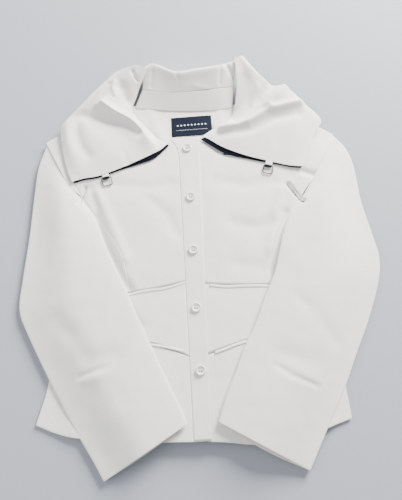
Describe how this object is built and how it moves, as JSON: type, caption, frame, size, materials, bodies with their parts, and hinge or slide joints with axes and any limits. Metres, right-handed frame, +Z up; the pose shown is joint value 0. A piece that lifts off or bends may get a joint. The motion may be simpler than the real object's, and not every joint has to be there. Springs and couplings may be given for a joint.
{
  "type": "short fitted jacket",
  "caption": "Off-white fitted short jacket lying flat: wide turned-down collar with two hanging metal loops, buttoned front, seamed waist, sleeves over the front.",
  "frame": {"origin": "on the floor under the button line, 24 mm towards the collar from the middle button", "axes": "+Z up from the floor, +Y from hem to collar, X across the garment"},
  "size_m": [0.5525, 0.6623, 0.0379],
  "materials": {
    "jacket_cloth": "off-white cotton twill",
    "button_resin": "white resin, raised rim",
    "thread_cotton": "white cotton thread and tape",
    "pad_felt": "white felt",
    "label_navy": "navy woven satin",
    "undercollar_navy": "dark navy undercollar cloth",
    "nickel_wire": "dark nickel plate"
  },
  "bodies": {
    "torso": {"back_bodice": "jacket_cloth", "back_midriff": "jacket_cloth", "back_neck_facing": "jacket_cloth", "back_peplum": "jacket_cloth", "button_band": "jacket_cloth", "button_stand": "jacket_cloth", "collar_back": "jacket_cloth", "collar_fall_left": "jacket_cloth", "collar_fall_right": "jacket_cloth", "collar_stand": "jacket_cloth", "facing_left": "jacket_cloth", "facing_right": "jacket_cloth", "front_left": "jacket_cloth", "front_right": "jacket_cloth", "lower_welt_left": "jacket_cloth", "lower_welt_right": "jacket_cloth", "midriff_left": "jacket_cloth", "midriff_right": "jacket_cloth", "neck_label": "label_navy", "peplum_left": "jacket_cloth", "peplum_right": "jacket_cloth", "shoulder_pad_left": "pad_felt", "shoulder_pad_right": "pad_felt", "side_front_left": "jacket_cloth", "side_front_right": "jacket_cloth", "size_tag": "thread_cotton", "waist_welt_left": "jacket_cloth", "waist_welt_right": "jacket_cloth"},
    "button_1": {"button_1": "button_resin", "button_thread_1": "thread_cotton"},
    "button_2": {"button_2": "button_resin", "button_thread_2": "thread_cotton"},
    "button_3": {"button_3": "button_resin", "button_thread_3": "thread_cotton"},
    "button_4": {"button_4": "button_resin", "button_thread_4": "thread_cotton"},
    "button_5": {"button_5": "button_resin", "button_thread_5": "thread_cotton"},
    "wing_left": {"loop_crimp_left": "nickel_wire", "loop_tab_left": "jacket_cloth", "wing_under_left": "undercollar_navy", "wing_upper_left": "jacket_cloth"},
    "wing_right": {"loop_crimp_right": "nickel_wire", "loop_tab_right": "jacket_cloth", "wing_under_right": "undercollar_navy", "wing_upper_right": "jacket_cloth"},
    "ring_left": {"loop_ring_left": "nickel_wire"},
    "ring_right": {"loop_ring_right": "nickel_wire"},
    "forearm_left": {"sleeve_lower_left": "jacket_cloth"},
    "forearm_right": {"sleeve_lower_right": "jacket_cloth"},
    "sleeve_left": {"sleeve_upper_left": "jacket_cloth"},
    "sleeve_right": {"sleeve_upper_right": "jacket_cloth"}
  },
  "joints": [
    {"name": "sleeve_lift_left", "type": "hinge", "parent": "torso", "child": "sleeve_left", "pos_m": [-0.162, 0.076, 0.0248], "axis": [-0.3956, 0.9184, 0], "range_deg": [0, 90]},
    {"name": "elbow_fold_left", "type": "hinge", "parent": "sleeve_left", "child": "forearm_left", "pos_m": [-0.103, -0.07, 0.0248], "axis": [-0.9184, -0.3956, 0], "range_deg": [0, 150]},
    {"name": "collar_lift_left", "type": "hinge", "parent": "torso", "child": "wing_left", "pos_m": [-0.157, 0.256, 0.03], "axis": [-0.7692, 0.639, 0], "range_deg": [0, 110]},
    {"name": "loop_swing_left", "type": "hinge", "parent": "wing_left", "child": "ring_left", "pos_m": [-0.134, 0.1065, 0.01719], "axis": [-0.9781, -0.2079, 0], "range_deg": [0, 110]},
    {"name": "sleeve_lift_right", "type": "hinge", "parent": "torso", "child": "sleeve_right", "pos_m": [0.168, 0.062, 0.0248], "axis": [-0.4104, -0.9119, 0], "range_deg": [0, 90]},
    {"name": "elbow_fold_right", "type": "hinge", "parent": "sleeve_right", "child": "forearm_right", "pos_m": [0.118, -0.07, 0.0248], "axis": [-0.9119, 0.4104, 0], "range_deg": [0, 150]},
    {"name": "collar_lift_right", "type": "hinge", "parent": "torso", "child": "wing_right", "pos_m": [0.157, 0.256, 0.03], "axis": [-0.7692, -0.639, 0], "range_deg": [0, 110]},
    {"name": "loop_swing_right", "type": "hinge", "parent": "wing_right", "child": "ring_right", "pos_m": [0.131, 0.112, 0.01768], "axis": [-0.9703, 0.2419, 0], "range_deg": [0, 110]},
    {"name": "button_twist_1", "type": "hinge", "parent": "torso", "child": "button_1", "pos_m": [0, 0.156, 0.017], "axis": [0, 0, 1], "range_deg": [-25, 25]},
    {"name": "button_twist_2", "type": "hinge", "parent": "torso", "child": "button_2", "pos_m": [0, 0.066, 0.017], "axis": [0, 0, 1], "range_deg": [-25, 25]},
    {"name": "button_twist_3", "type": "hinge", "parent": "torso", "child": "button_3", "pos_m": [0, -0.024, 0.017], "axis": [0, 0, 1], "range_deg": [-25, 25]},
    {"name": "button_twist_4", "type": "hinge", "parent": "torso", "child": "button_4", "pos_m": [0, -0.114, 0.017], "axis": [0, 0, 1], "range_deg": [-25, 25]},
    {"name": "button_twist_5", "type": "hinge", "parent": "torso", "child": "button_5", "pos_m": [0, -0.204, 0.017], "axis": [0, 0, 1], "range_deg": [-25, 25]}
  ]
}
